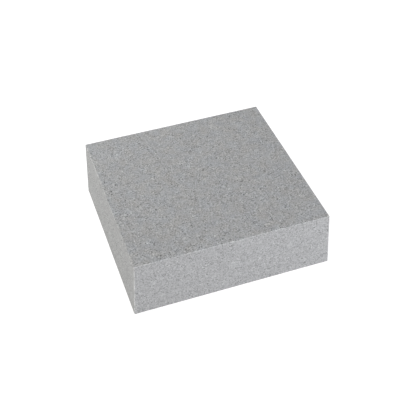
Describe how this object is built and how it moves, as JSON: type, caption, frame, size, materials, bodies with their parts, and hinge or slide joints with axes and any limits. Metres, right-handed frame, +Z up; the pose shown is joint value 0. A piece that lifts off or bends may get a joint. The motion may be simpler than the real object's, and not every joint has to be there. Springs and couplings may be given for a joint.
{
  "type": "sharpening whetstone",
  "caption": "Flat, nearly square block of grey bonded abrasive for honing carving tools, with two drafted sides, two sawn ends and eased edges.",
  "frame": {"origin": "middle of the resting face, at the height of the surface that the stone lies on", "axes": "+Z up, out of the honing face; +X across the two drafted (moulded) sides; +Y from the front sawn end to the back one"},
  "size_m": [0.052, 0.0486, 0.0165],
  "materials": {
    "bonded_abrasive": "matte"
  },
  "bodies": {
    "root": {"abrasive_block": "bonded_abrasive"}
  },
  "joints": []
}
